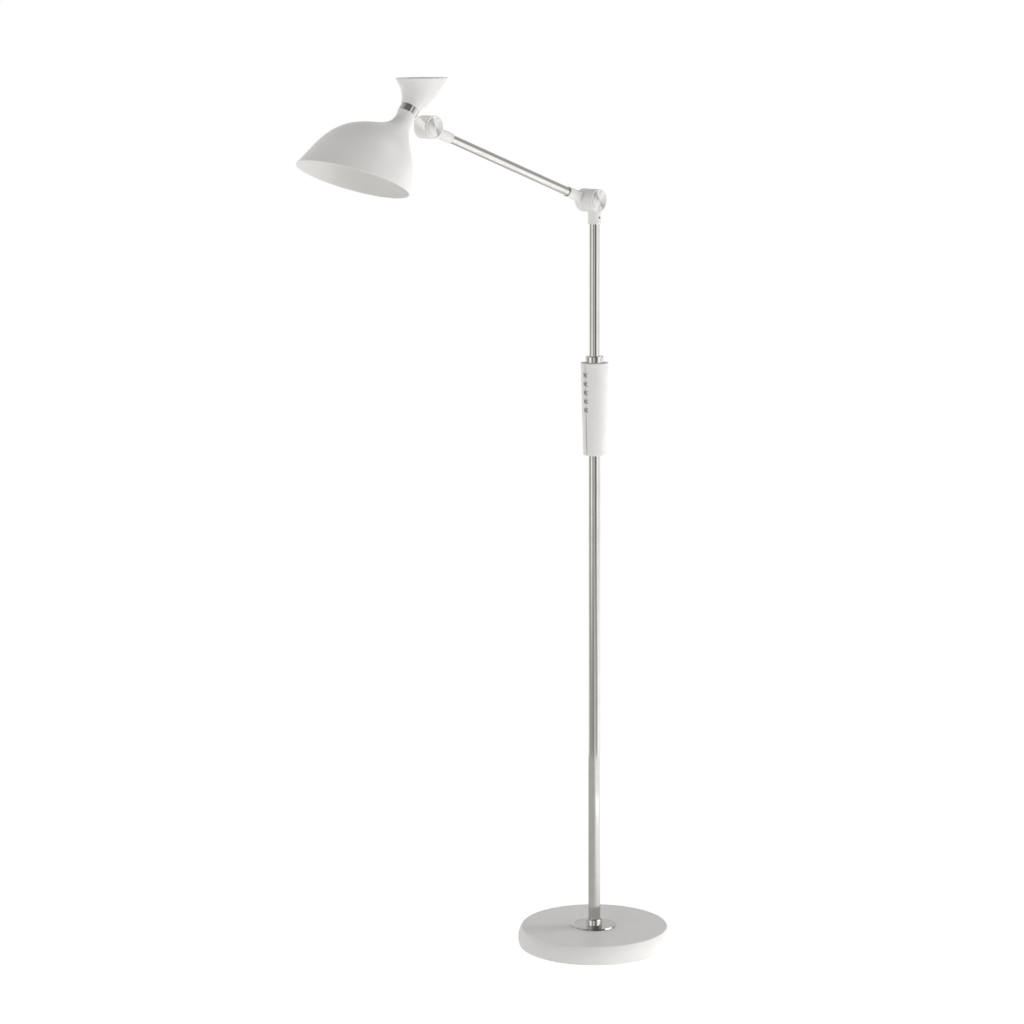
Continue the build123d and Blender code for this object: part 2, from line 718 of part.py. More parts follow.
with BuildPart() as arm_set_screws:
    for station in (rear_socket_length - arm_screw_inset,
                    arm_length - front_socket_length + arm_screw_inset):
        with BuildSketch(along_arm(station).rotated((0, 90, 0)).offset(arm_tube_radius + slip)):
            Circle(set_screw_radius)
        extrude(amount=socket_tip_radius - arm_tube_radius - slip)
save(arm_set_screws.part, "arm_set_screws")

head_socket_start = arm_length - front_socket_length
head_cap_seat = head_cap_thickness - cap_proud
head_arm_floor_y = head_arm_y0 + head_floor

with BuildPart() as arm_knuckle:
    with BuildSketch(across(head_arm_y1)):
        with Locations((head_x, head_z)):
            Circle(head_joint_radius)
    extrude(amount=head_arm_width)
    fillet(arm_knuckle.edges().group_by(Axis.Y)[-1], head_edge)
    with BuildSketch(along_arm(head_socket_start)):
        Circle(socket_tip_radius)
    with BuildSketch(along_arm(arm_length - head_joint_radius / 2)):
        Circle(front_root_radius)
    loft()
    with BuildSketch(along_arm(head_socket_start)):
        Circle(arm_tube_radius + slip)
    extrude(amount=socket_seat_depth, mode=Mode.SUBTRACT)
    with BuildSketch(across(head_arm_y1)):
        with Locations((head_x, head_z)):
            Circle(head_far_cap_radius)
    extrude(amount=head_cap_seat, mode=Mode.SUBTRACT)
    with BuildSketch(across(head_arm_y1)):
        with Locations((head_x, head_z)):
            Circle(head_pocket_radius)
    extrude(amount=head_arm_width - head_floor, mode=Mode.SUBTRACT)
    with BuildSketch(across(head_arm_y1)):
        with Locations((head_x, head_z)):
            Circle(head_pin_radius + slip)
    extrude(amount=head_arm_width, mode=Mode.SUBTRACT)
    with BuildSketch(along_arm(head_socket_start + arm_screw_inset).rotated((0, 90, 0))):
        Circle(set_screw_radius + slip)
    extrude(amount=socket_root_radius + overcut, mode=Mode.SUBTRACT)
save(arm_knuckle.part, "arm_knuckle")

head_lobe_floor_y = head_lobe_y1 - head_floor

with BuildPart() as head_pin:
    with BuildSketch(across(head_lobe_floor_y - seat_gap)):
        with Locations((head_x, head_z)):
            Circle(head_nut_flats / 2)
    extrude(amount=head_bolt_head)
    with BuildSketch(across(head_arm_floor_y + head_nut_thickness)):
        with Locations((head_x, head_z)):
            Circle(head_pin_radius)
    extrude(amount=head_arm_floor_y + head_nut_thickness - head_lobe_floor_y + seat_gap)
save(head_pin.part, "head_pin")

with BuildPart() as head_pin_nut:
    with BuildSketch(across(head_arm_floor_y + head_nut_thickness)):
        with Locations((head_x, head_z)):
            hexagon(head_nut_flats)
            Circle(head_pin_radius + slip, mode=Mode.SUBTRACT)
    extrude(amount=head_nut_thickness)
save(head_pin_nut.part, "head_pin_nut")

with BuildPart() as head_cap_far:
    add(round_cap(head_far_cap_radius - slip, head_cap_thickness, head_x, head_z,
                  head_arm_y1 + cap_proud, 1))
save(head_cap_far.part, "head_cap_far")

# ================================ head ==================================================================

with BuildPart() as head_bracket:
    with BuildSketch(across(head_lobe_y1)):
        with Locations((head_x, head_z)):
            Circle(head_joint_radius)
    extrude(amount=head_lobe_width)
    fillet(head_bracket.edges().group_by(Axis.Y)[0], elbow_near_edge)
    stem_plane = Plane(origin=neck_point(0), x_dir=(0, 1, 0), z_dir=(neck_cos, 0, -neck_sin))
    with BuildSketch(stem_plane):
        RectangleRounded(stem_width, stem_height, stem_edge)
    extrude(amount=(head_x - neck_x) / neck_cos)
    with BuildSketch(neck_plane(-half_ring)):
        Circle(neck_ring_radius + slip)
    extrude(amount=neck_ring_length, mode=Mode.SUBTRACT)
    with BuildSketch(stem_plane.offset(neck_ring_radius - neck_ring_wall - spigot_depth)):
        Circle(spigot_radius)
    extrude(amount=spigot_depth + neck_ring_wall + stem_height)
    with BuildSketch(across(head_lobe_y0 + head_cap_seat)):
        with Locations((head_x, head_z)):
            Circle(head_cap_radius + slip)
    extrude(amount=head_cap_thickness, mode=Mode.SUBTRACT)
    with BuildSketch(across(head_lobe_floor_y)):
        with Locations((head_x, head_z)):
            Circle(head_pocket_radius)
    extrude(amount=head_lobe_width, mode=Mode.SUBTRACT)
    with BuildSketch(across(head_lobe_y1)):
        with Locations((head_x, head_z)):
            Circle(head_pin_radius + slip)
    extrude(amount=head_lobe_width, mode=Mode.SUBTRACT)
save(head_bracket.part, "head_bracket")

with BuildPart() as head_cap_near:
    add(round_cap(head_cap_radius, head_cap_thickness, head_x, head_z, head_lobe_y0 - cap_proud, -1))
save(head_cap_near.part, "head_cap_near")

with BuildPart() as neck_ring:
    with BuildSketch(neck_plane(-half_ring)):
        Circle(neck_ring_radius)
        Circle(neck_ring_radius - neck_ring_wall, mode=Mode.SUBTRACT)
    extrude(amount=neck_ring_length)
    with BuildSketch(stem_plane):
        Circle(spigot_radius + slip)
    extrude(amount=neck_ring_radius + overcut, mode=Mode.SUBTRACT)
save(neck_ring.part, "neck_ring")

with BuildPart() as neck_core:
    with BuildSketch(neck_plane(-half_ring)):
        Circle(neck_ring_radius - neck_ring_wall - slip)
        Circle(nipple_radius + slip, mode=Mode.SUBTRACT)
    extrude(amount=neck_ring_length)
    with BuildSketch(stem_plane.offset(neck_ring_radius - neck_ring_wall - spigot_depth - slip)):
        Circle(spigot_radius + slip)
    extrude(amount=spigot_depth + neck_ring_wall, mode=Mode.SUBTRACT)
save(neck_core.part, "neck_core")

bell_mouth = slanted(bell_mouth_x, bell_mouth_z, bell_mouth_tilt)
cone_rim = slanted(cone_rim_x, cone_rim_z, 0)
bell_top = neck_point(-half_ring)
cone_foot = neck_point(half_ring)
# each station: centre's share of the way to the mouth in X and Z, half length, half width, fall in degrees
bell_stations = (
    (0.102, 0.148, 0.175, 0.175, 30.0),
    (0.355, 0.331, 0.411, 0.428, 37.3),
    (0.725, 0.657, 0.828, 0.857, 31.7),
)
cone_stations = ((0.55, 0.363, 0.575, 19.5),)


def bell_solid(inset):
    """Outer body of the bell, or its hollow when inset is the wall: ellipses from the neck to the mouth."""
    with BuildPart(mode=Mode.PRIVATE) as body:
        with BuildSketch(slanted(bell_top[0], bell_top[2], neck_tilt)):
            Circle(neck_radius - inset)
        for share_x, share_z, length_share, width_share, fall in bell_stations:
            x = bell_top[0] + (bell_mouth_x - bell_top[0]) * share_x
            z = bell_top[2] + (bell_mouth_z - bell_top[2]) * share_z
            half_length = bell_mouth_half_length * length_share
            half_width = bell_mouth_half_width * width_share
            with BuildSketch(slanted(x, z, fall)):
                Ellipse(half_length - inset, half_width - inset)
        with BuildSketch(bell_mouth):
            Ellipse(bell_mouth_half_length - inset, bell_mouth_half_width - inset)
        loft()
    return body.part


def cone_solid(inset):
    """Outer body of the upper cone, or its hollow when inset is the wall."""
    with BuildPart(mode=Mode.PRIVATE) as body:
        with BuildSketch(slanted(cone_foot[0], cone_foot[2], neck_tilt)):
            Circle(neck_radius - inset)
        for share_x, share_z, radius_share, fall in cone_stations:
            x = cone_foot[0] + (cone_rim_x - cone_foot[0]) * share_x
            z = cone_foot[2] + (cone_rim_z - cone_foot[2]) * share_z
            with BuildSketch(slanted(x, z, fall)):
                Circle(cone_rim_radius * radius_share - inset)
        with BuildSketch(cone_rim):
            Circle(cone_rim_radius - inset)
        loft()
    return body.part


with BuildPart() as shade_bell:
    add(bell_solid(0))
    add(bell_solid(shade_wall), mode=Mode.SUBTRACT)
    with BuildSketch(bell_plane(0)):
        Circle(neck_radius - shade_wall / 2)
        Circle(nipple_radius + slip, mode=Mode.SUBTRACT)
    extrude(amount=shade_wall)
    fillet(edges_on(shade_bell.part, bell_mouth), shade_lip)
save(shade_bell.part, "shade_bell")

with BuildPart() as shade_cone:
    add(cone_solid(0))
    add(cone_solid(shade_wall), mode=Mode.SUBTRACT)
    with BuildSketch(neck_plane(half_ring)):
        Circle(neck_radius - shade_wall / 2)
        Circle(nipple_radius + slip, mode=Mode.SUBTRACT)
    extrude(amount=shade_wall)
    fillet(edges_on(shade_cone.part, cone_rim), shade_lip)
save(shade_cone.part, "shade_cone")

with BuildPart() as lamp_nipple:
    with BuildSketch(bell_plane(-neck_ring_length - nipple_above)):
        Circle(nipple_radius)
        Circle(nipple_bore_radius, mode=Mode.SUBTRACT)
    extrude(amount=nipple_above + neck_ring_length + holder_start + holder_flange_thickness)
save(lamp_nipple.part, "lamp_nipple")

with BuildPart() as nipple_nuts:
    for nut_start in (-neck_ring_length - shade_wall - nipple_nut_thickness, shade_wall):
        with BuildSketch(bell_plane(nut_start)):
            hexagon(nipple_nut_flats)
            Circle(nipple_radius + slip, mode=Mode.SUBTRACT)
        extrude(amount=nipple_nut_thickness)
save(nipple_nuts.part, "nipple_nuts")

with BuildPart() as lamp_holder:
    with BuildSketch(bell_plane(holder_start)):
        Circle(holder_radius)
    extrude(amount=holder_length)
    with BuildSketch(bell_plane(holder_start)):
        Circle(nipple_radius + slip)
    extrude(amount=holder_flange_thickness, mode=Mode.SUBTRACT)
    with BuildSketch(bell_plane(holder_start + holder_length - bulb_cap_length - bulb_cap_room)):
        Circle(bulb_cap_radius + air)
    extrude(amount=bulb_cap_length + bulb_cap_room, mode=Mode.SUBTRACT)
    with BuildSketch(bell_plane(holder_start + holder_length - holder_flange_thickness)):
        Circle(holder_flange_radius)
        Circle(holder_radius, mode=Mode.SUBTRACT)
    extrude(amount=holder_flange_thickness)
save(lamp_holder.part, "lamp_holder")

bulb_start = holder_start + holder_length

with BuildPart() as bulb_cap:
    with BuildSketch(bell_plane(bulb_start - bulb_cap_length)):
        Circle(bulb_cap_radius)
    extrude(amount=bulb_cap_length)
save(bulb_cap.part, "bulb_cap")

with BuildPart() as bulb_glass:
    bulb_profile = Plane(origin=neck_point(-half_ring - bulb_start), x_dir=(neck_cos, 0, -neck_sin),
                         z_dir=(0, 1, 0))
    ball_middle = bulb_length - bulb_radius
    with BuildSketch(bulb_profile):
        with BuildLine():
            Line((0, 0), (0, bulb_length))
            RadiusArc((0, bulb_length), (bulb_radius, ball_middle), bulb_radius)
            Spline((bulb_radius, ball_middle), (bulb_neck_radius, 0), tangents=((0, -1), (-0.25, -1)))
            Line((bulb_neck_radius, 0), (0, 0))
        make_face()
    revolve(axis=Axis(neck_point(0), (neck_sin, 0, neck_cos)))
save(bulb_glass.part, "bulb_glass")
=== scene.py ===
"""Looks of the adjustable arm floor lamp, in metres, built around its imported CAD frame.

The pole runs up Z, the front is -X and the joint pins lie along Y. CAD pieces keep their shapes and get
materials made of nodes here. The leather grip and its lacing are modelled here, in place of their CAD nodes.
"""

import json
import math

import bmesh
import bpy
from mathutils import Matrix, Vector, noise


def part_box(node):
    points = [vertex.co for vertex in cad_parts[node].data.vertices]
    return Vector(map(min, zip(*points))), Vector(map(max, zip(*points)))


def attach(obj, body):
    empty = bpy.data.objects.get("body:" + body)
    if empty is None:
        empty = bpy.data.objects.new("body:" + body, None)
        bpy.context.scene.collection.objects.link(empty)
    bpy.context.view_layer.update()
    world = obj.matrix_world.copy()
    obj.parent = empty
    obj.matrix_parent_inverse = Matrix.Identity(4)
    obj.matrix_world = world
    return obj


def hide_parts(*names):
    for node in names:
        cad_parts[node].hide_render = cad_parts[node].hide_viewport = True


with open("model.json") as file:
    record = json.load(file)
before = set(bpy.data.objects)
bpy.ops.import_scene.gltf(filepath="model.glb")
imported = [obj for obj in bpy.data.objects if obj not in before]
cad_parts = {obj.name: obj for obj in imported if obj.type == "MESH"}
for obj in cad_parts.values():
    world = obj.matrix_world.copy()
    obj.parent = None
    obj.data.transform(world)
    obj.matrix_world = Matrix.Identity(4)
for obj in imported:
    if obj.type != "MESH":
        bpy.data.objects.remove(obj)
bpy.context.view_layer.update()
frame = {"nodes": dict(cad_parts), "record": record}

MM = 0.001

# ---- camera, at the photograph's viewing angle --------------------------------------------------------
camera_distance = 5.0277       # level distance from the pole
camera_height = 1.5732
camera_heading = math.radians(45)     # from the pole, the camera stands this far round from -Y towards -X
camera_pitch = math.radians(9.515)    # looks down by this angle
camera_roll = math.radians(0.226)
camera_shift_left = 0.13464    # the lamp's head reaches left, so the pole is right of the middle
sensor_width = 36.0
lens = 109.81

# ---- studio ------------------------------------------------------------------------------------------
floor_radius = 1.3
floor_sides = 96
floor_tone = 0.42
floor_seen = 0.82              # glow of the white sweep as the camera sees it
floor_dim = 0.44               # light that the sweep gives the lamp, on its left
floor_bright = 1.24            # and on its right
floor_turns = (-0.15, 0.5)     # this far to the right of the pole, the light starts and stops rising

# light boxes: angle from the camera's side towards the right of the picture, distance, height, width,
# height of the box and power
strip_box = (62, 0.9, 0.016, 0.9, 0.03, 2.4)
key_box = (70, 3.0, 0.9, 1.2, 1.6, 7.0)

# brightness round the lamp, by angle from the camera's side towards the right of the picture, in five rings
# one above the other
below_ring = ((-179, 0.90), (-90, 0.80), (0, 1.05), (56, 0.95), (71, 2.00), (84, 1.85), (98, 0.65),
              (130, 0.65), (179, 0.90))
low_ring = ((-179, 1.30), (-135, 1.50), (-118, 1.24), (-98, 0.49), (-76, 0.61), (-58, 0.51), (-42, 0.58),
            (-22, 0.29), (-10, 0.55), (8, 1.14), (20, 0.88), (36, 0.47), (46, 0.60), (66, 1.43), (84, 1.92),
            (110, 1.70), (179, 1.30))
level_ring = ((-179, 1.40), (-135, 1.35), (-104, 0.69), (-80, 0.54), (-66, 1.43), (-54, 1.80), (-30, 0.26),
              (-10, 1.14), (8, 0.31), (30, 0.20), (42, 1.30), (57, 1.85), (78, 1.30), (96, 1.27),
              (120, 1.55), (179, 1.40))
high_ring = ((-179, 0.75), (-130, 1.00), (-104, 0.80), (-80, 0.80), (-66, 1.60), (-50, 1.80), (-30, 0.35),
             (-10, 1.10), (8, 0.34), (28, 0.30), (40, 1.10), (50, 1.10), (62, 0.45), (90, 0.50), (122, 0.64),
             (150, 0.70), (179, 0.75))
upper_ring = ((-179, 0.20), (-110, 0.50), (-60, 0.50), (0, 0.22), (60, 0.08), (84, 0.12), (94, 3.60),
              (114, 3.60), (126, 0.12), (179, 0.20))
# angles above the level between which one ring gives way to the next
ring_steps = ((-20, -14), (-13, -9), (-2, 10), (30, 35))
# how the brightness changes with the angle above the level, against its first value
lift = ((-89, 0.77), (30, 0.77), (37, 1.0), (50, 1.0), (64, 0.35), (89, 0.3))
ramp_top = 4.0                 # a colour ramp holds 0 to 1, so levels are stored as shares of this


# ---- helpers for node trees ----------------------------------------------------------------------------

class Finish:
    """A material under construction: its node tree, its Principled shader and its coordinates."""

    def __init__(self, name, colour, roughness, metallic=0.0):
        self.material = bpy.data.materials.new(name)
        self.material.use_nodes = True
        self.tree = self.material.node_tree
        self.shader = self.tree.nodes["Principled BSDF"]
        self.set("Base Color", (*colour, 1.0))
        self.set("Roughness", roughness)
        self.set("Metallic", metallic)
        self.place = self.add("ShaderNodeTexCoord").outputs["Object"]
        self.normal = None

    def add(self, kind, **settings):
        node = self.tree.nodes.new(kind)
        for key, value in settings.items():
            setattr(node, key, value)
        return node

    def feed(self, socket, value):
        """Links a socket, or writes a plain number or colour."""
        if isinstance(value, bpy.types.NodeSocket):
            self.tree.links.new(value, socket)
        else:
            socket.default_value = value

    def set(self, name, value):
        self.feed(self.shader.inputs[name], value)

    def moved(self, scale=(1, 1, 1), origin=(0, 0, 0), turn=(0, 0, 0)):
        """Coordinates about an origin, turned, then scaled along their own axes."""
        shifted = self.add("ShaderNodeVectorMath", operation="SUBTRACT")
        self.feed(shifted.inputs[0], self.place)
        shifted.inputs[1].default_value = origin
        turned = self.add("ShaderNodeMapping", vector_type="POINT")
        self.feed(turned.inputs["Vector"], shifted.outputs[0])
        turned.inputs["Rotation"].default_value = turn
        scaled = self.add("ShaderNodeVectorMath", operation="MULTIPLY")
        self.feed(scaled.inputs[0], turned.outputs[0])
        scaled.inputs[1].default_value = scale
        return scaled.outputs[0]

    def noise(self, scale, detail=3.0, roughness=0.5, place=None, distortion=0.0):
        node = self.add("ShaderNodeTexNoise")
        self.feed(node.inputs["Vector"], place or self.place)
        node.inputs["Scale"].default_value = scale
        node.inputs["Detail"].default_value = detail
        node.inputs["Roughness"].default_value = roughness
        node.inputs["Distortion"].default_value = distortion
        return node.outputs["Fac"]

    def cells(self, scale, place=None, feature="F1", smooth=None):
        node = self.add("ShaderNodeTexVoronoi", feature=feature)
        self.feed(node.inputs["Vector"], place or self.place)
        node.inputs["Scale"].default_value = scale
        if smooth is not None:
            node.inputs["Smoothness"].default_value = smooth
        return node.outputs["Distance"]

    def rings(self, scale, place, direction, distortion, detail):
        """Rings about an axis through the origin of a place."""
        node = self.add("ShaderNodeTexWave", wave_type="RINGS", rings_direction=direction)
        self.feed(node.inputs["Vector"], place)
        node.inputs["Scale"].default_value = scale
        node.inputs["Distortion"].default_value = distortion
        node.inputs["Detail"].default_value = detail
        return node.outputs["Fac"]

    def span(self, value, low, high, start=0.0, end=1.0):
        """Maps a 0 to 1 value smoothly onto low to high between start and end."""
        node = self.add("ShaderNodeMapRange", interpolation_type="SMOOTHSTEP")
        self.feed(node.inputs["Value"], value)
        node.inputs["From Min"].default_value = start
        node.inputs["From Max"].default_value = end
        node.inputs["To Min"].default_value = low
        node.inputs["To Max"].default_value = high
        return node.outputs["Result"]

    def math(self, operation, first, second):
        node = self.add("ShaderNodeMath", operation=operation)
        self.feed(node.inputs[0], first)
        self.feed(node.inputs[1], second)
        return node.outputs[0]

    def blend(self, factor, first, second):
        """Colour between two colours or colour sockets."""
        node = self.add("ShaderNodeMix", data_type="RGBA")
        self.feed(node.inputs["Factor"], factor)
        for key, value in (("A", first), ("B", second)):
            socket = [s for s in node.inputs if s.name == key and s.type == "RGBA"][0]
            self.feed(socket, value if isinstance(value, bpy.types.NodeSocket) else (*value, 1.0))
        return [s for s in node.outputs if s.type == "RGBA"][0]

    def soften(self, radius):
        """Rounds the light on hard edges by this radius."""
        node = self.add("ShaderNodeBevel", samples=6)
        node.inputs["Radius"].default_value = radius
        self.normal = node.outputs["Normal"]

    def lean(self, tilt):
        """Tips the light on the surface by a vector."""
        tipped = self.add("ShaderNodeVectorMath", operation="ADD")
        self.feed(tipped.inputs[0], self.normal)
        tipped.inputs[1].default_value = tilt
        even = self.add("ShaderNodeVectorMath", operation="NORMALIZE")
        self.feed(even.inputs[0], tipped.outputs[0])
        self.normal = even.outputs[0]

    def bump(self, height, depth):
        """Raises the surface by up to depth metres where height is 1."""
        node = self.add("ShaderNodeBump")
        node.inputs["Distance"].default_value = depth
        node.inputs["Strength"].default_value = 1.0
        self.feed(node.inputs["Height"], height)
        if self.normal is not None:
            self.feed(node.inputs["Normal"], self.normal)
        self.normal = node.outputs["Normal"]
        self.set("Normal", self.normal)

    def edges(self):
        """1 on raised edges, 0 on flats and in hollows."""
        geometry = self.add("ShaderNodeNewGeometry")
        return self.span(geometry.outputs["Pointiness"], 0.0, 1.0, 0.52, 0.62)


def shade(colour, factor):
    return tuple(min(1.0, c * factor) for c in colour)


# ---- finishes ------------------------------------------------------------------------------------------

def white_paint():
    """Satin baked enamel: fine orange peel, faint dust nibs and softened light on edges."""
    white = (0.80, 0.79, 0.77)
    f = Finish("white_paint", white, 0.4)
    drift = f.noise(9.0, 2.0)
    cloud = f.noise(55.0, 3.0)
    body = f.blend(f.span(drift, 0.0, 1.0, 0.3, 0.7), shade(white, 0.985), shade(white, 1.01))
    f.set("Base Color", f.blend(f.span(cloud, 0.0, 0.35, 0.45, 0.75), body, shade(white, 0.965)))
    f.set("Roughness", f.span(cloud, 0.36, 0.46, 0.3, 0.7))
    f.set("Coat Weight", 0.08)
    f.set("Coat Roughness", 0.3)
    f.soften(0.35 * MM)
    orange_peel = f.noise(620.0, 2.0, 0.4)
    nibs = f.span(f.cells(140.0), 1.0, 0.0, 0.0, 0.06)
    f.bump(orange_peel, 0.010 * MM)
    f.bump(nibs, 0.012 * MM)
    return f.material


def nickel(name, turn=(0, 0, 0), roughness=(0.05, 0.10), taper=0.0):
    """Polished nickel plate: fine drawing lines along the tube, hairline scratches and faint smudges.

    With a taper, the light falls on it as on a collar that narrows upwards by that slope.
    """
    silver = (0.53, 0.52, 0.50)
    f = Finish(name, silver, roughness[0], 1.0)
    lines = f.noise(1.0, 4.0, 0.6, place=f.moved(scale=(1400, 1400, 18), turn=turn))
    flecks = f.noise(1.0, 2.0, 0.5, place=f.moved(scale=(260, 260, 900), turn=turn))
    smudge = f.noise(38.0, 4.0, 0.55, distortion=0.6)
    tone = f.blend(f.span(smudge, 0.0, 1.0, 0.35, 0.75), silver, shade(silver, 0.93))
    f.set("Base Color", f.blend(f.span(lines, 0.0, 0.25, 0.4, 0.8), tone, shade(silver, 0.85)))
    base = f.span(smudge, *roughness, 0.3, 0.75)
    f.set("Roughness", f.math("ADD", base, f.span(lines, 0.0, 0.05, 0.45, 0.75)))
    f.soften(0.25 * MM)
    if taper:
        f.lean((0, 0, taper))
    f.bump(lines, 0.0012 * MM)
    f.bump(f.span(flecks, 0.0, 1.0, 0.66, 0.72), 0.0015 * MM)
    return f.material


def turned_nickel(node):
    """A cap faced on a lathe, with rings about its own middle that draw the light into a bow tie."""
    silver = (0.88, 0.87, 0.85)
    low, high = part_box(node)
    middle = (low + high) / 2
    f = Finish("turned_" + node, silver, 0.42, 1.0)
    about = f.moved(origin=middle)
    rings = f.rings(900.0, about, "Y", distortion=0.6, detail=2.0)
    grain = f.noise(160.0, 4.0, 0.6)
    f.set("Base Color", f.blend(f.span(grain, 0.0, 1.0, 0.35, 0.7), silver, shade(silver, 0.9)))
    f.set("Roughness", f.span(rings, 0.45, 0.51))
    f.set("Anisotropic", 1.0)
    f.set("Anisotropic Rotation", 0.25)
    tangent = f.add("ShaderNodeTangent", direction_type="RADIAL", axis="Y")
    f.set("Tangent", tangent.outputs["Tangent"])
    f.soften(0.25 * MM)
    f.bump(rings, 0.0008 * MM)
    return f.material


def leather():
    """White full-grain leather: pebbled cells, pores and soft creases, with painted shade darkening the
    valleys between the cells and the sunken creases.
    """
    white = (0.80, 0.79, 0.77)
    f = Finish("white_leather", white, 0.5)
    warped = f.noise(300.0, 2.0)
    pebble = f.cells(1150.0, feature="SMOOTH_F1", smooth=0.6)
    valley = f.cells(1150.0, feature="DISTANCE_TO_EDGE")
    creases = f.noise(90.0, 5.0, 0.6, place=f.moved(scale=(1, 1, 0.35)), distortion=1.2)
    drift = f.noise(22.0, 3.0)
    body = f.blend(f.span(drift, 0.0, 1.0, 0.3, 0.7), shade(white, 0.96), shade(white, 1.02))
    # painted shade: darker in the low valleys between the pebbles, and on the next line along the sunken
    # creases
    valley_shaded = f.blend(f.span(valley, 0.55, 0.0, 0.0, 0.12), body, shade(white, 0.93))
    f.set("Base Color", f.blend(f.span(creases, 0.0, 0.35, 0.55, 0.75), valley_shaded, shade(white, 0.93)))
    f.set("Roughness", f.span(warped, 0.42, 0.56, 0.3, 0.7))
    f.set("Sheen Weight", 0.25)
    f.set("Sheen Roughness", 0.45)
    f.set("Specular IOR Level", 0.45)
    f.bump(f.span(pebble, 1.0, 0.0, 0.0, 0.9), 0.05 * MM)
    f.bump(f.span(creases, 1.0, 0.0, 0.5, 0.8), 0.06 * MM)
    return f.material


def lace_cord():
    """Waxed linen lace, three-ply, a little darker than the leather."""
    grey = (0.33, 0.315, 0.28)
    f = Finish("lace_cord", grey, 0.6)
    fibre = f.noise(2600.0, 3.0, 0.6, place=f.moved(scale=(1, 1, 0.4)))
    f.set("Base Color", f.blend(f.span(fibre, 0.0, 1.0, 0.35, 0.7), shade(grey, 0.75), shade(grey, 1.2)))
    f.set("Roughness", f.span(fibre, 0.5, 0.75))
    f.set("Sheen Weight", 0.3)
    f.bump(fibre, 0.04 * MM)
    return f.material


def zinc():
    """Zinc-plated steel with a faint blue-yellow cast and drawn marks."""
    steel = (0.55, 0.56, 0.56)
    f = Finish("zinc_steel", steel, 0.3, 1.0)
    bluish = (0.5, 0.53, 0.57)
    yellowish = (0.6, 0.58, 0.5)
    cast = f.noise(120.0, 3.0)
    f.set("Base Color", f.blend(f.span(cast, 0.0, 1.0, 0.35, 0.65), bluish, yellowish))
    f.set("Roughness", f.span(f.noise(700.0, 4.0), 0.26, 0.46, 0.3, 0.7))
    f.soften(0.2 * MM)
    f.bump(f.noise(1800.0, 3.0), 0.006 * MM)
    return f.material


def black_steel():
    """Oiled dark steel of the grub screws, with bright rubbed edges."""
    dark = (0.30, 0.295, 0.29)
    bright = (0.5, 0.49, 0.48)
    f = Finish("black_steel", dark, 0.45, 0.7)
    rub = f.math("MULTIPLY", f.edges(), f.noise(900.0))
    f.set("Base Color", f.blend(rub, dark, bright))
    f.set("Roughness", f.span(f.noise(1200.0, 3.0), 0.4, 0.6))
    f.soften(0.1 * MM)
    f.bump(f.noise(2500.0, 3.0), 0.006 * MM)
    return f.material


def cast_iron():
    """Sand-cast iron under a thin dark primer."""
    iron = (0.09, 0.088, 0.085)
    f = Finish("cast_iron", iron, 0.7, 0.3)
    sand = f.noise(420.0, 6.0, 0.7)
    f.set("Base Color", f.blend(f.span(sand, 0.0, 1.0, 0.35, 0.7), shade(iron, 0.7), shade(iron, 1.5)))
    f.set("Roughness", f.span(sand, 0.6, 0.85))
    f.bump(sand, 0.12 * MM)
    return f.material


def felt():
    """Pressed grey felt with a short nap."""
    grey = (0.16, 0.16, 0.155)
    f = Finish("base_felt", grey, 0.95)
    fibre = f.noise(1500.0, 6.0, 0.75, distortion=2.0)
    f.set("Base Color", f.blend(f.span(fibre, 0.0, 1.0, 0.3, 0.7), shade(grey, 0.6), shade(grey, 1.6)))
    f.set("Roughness", f.span(fibre, 0.88, 1.0))
    f.set("Sheen Weight", 0.6)
    f.bump(fibre, 0.15 * MM)
    return f.material


def moulded(name, colour, roughness, grain=0.02):
    """A moulded plastic or rubber with a fine spark-eroded texture and faint flow marks."""
    f = Finish(name, colour, roughness)
    fine = f.noise(1400.0, 4.0, 0.6)
    flow = f.noise(60.0, 3.0, distortion=1.5)
    f.set("Base Color", f.blend(f.span(flow, 0.0, 1.0, 0.3, 0.7), shade(colour, 0.9), shade(colour, 1.08)))
    f.set("Roughness", f.span(fine, roughness - 0.06, roughness + 0.08, 0.3, 0.7))
    f.soften(0.2 * MM)
    f.bump(fine, grain * MM)
    return f.material


def brass():
    """Turned brass, slightly tarnished."""
    gold = (0.66, 0.47, 0.21)
    tarnish = (0.42, 0.29, 0.13)
    f = Finish("brass", gold, 0.25, 1.0)
    stain = f.noise(130.0, 4.0, 0.6, distortion=0.8)
    f.set("Base Color", f.blend(f.span(stain, 0.0, 0.8, 0.45, 0.75), gold, tarnish))
    f.set("Roughness", f.span(stain, 0.18, 0.42, 0.3, 0.8))
    f.soften(0.2 * MM)
    f.bump(f.noise(1500.0, 3.0), 0.006 * MM)
    return f.material


def opal_glass():
    """Opal glass of the bulb, softly mottled, with a gloss skin."""
    milk = (0.88, 0.88, 0.86)
    f = Finish("bulb_glass", milk, 0.22)
    mottle = f.noise(70.0, 4.0)
    f.set("Base Color", f.blend(f.span(mottle, 0.0, 1.0, 0.35, 0.7), shade(milk, 0.97), shade(milk, 1.03)))
    f.set("Roughness", f.span(mottle, 0.16, 0.28))
    f.set("Subsurface Weight", 0.3)
    f.set("Subsurface Scale", 0.004)
    f.set("Coat Weight", 0.4)
    f.set("Coat Roughness", 0.05)
    f.bump(f.noise(240.0, 2.0), 0.01 * MM)
    return f.material


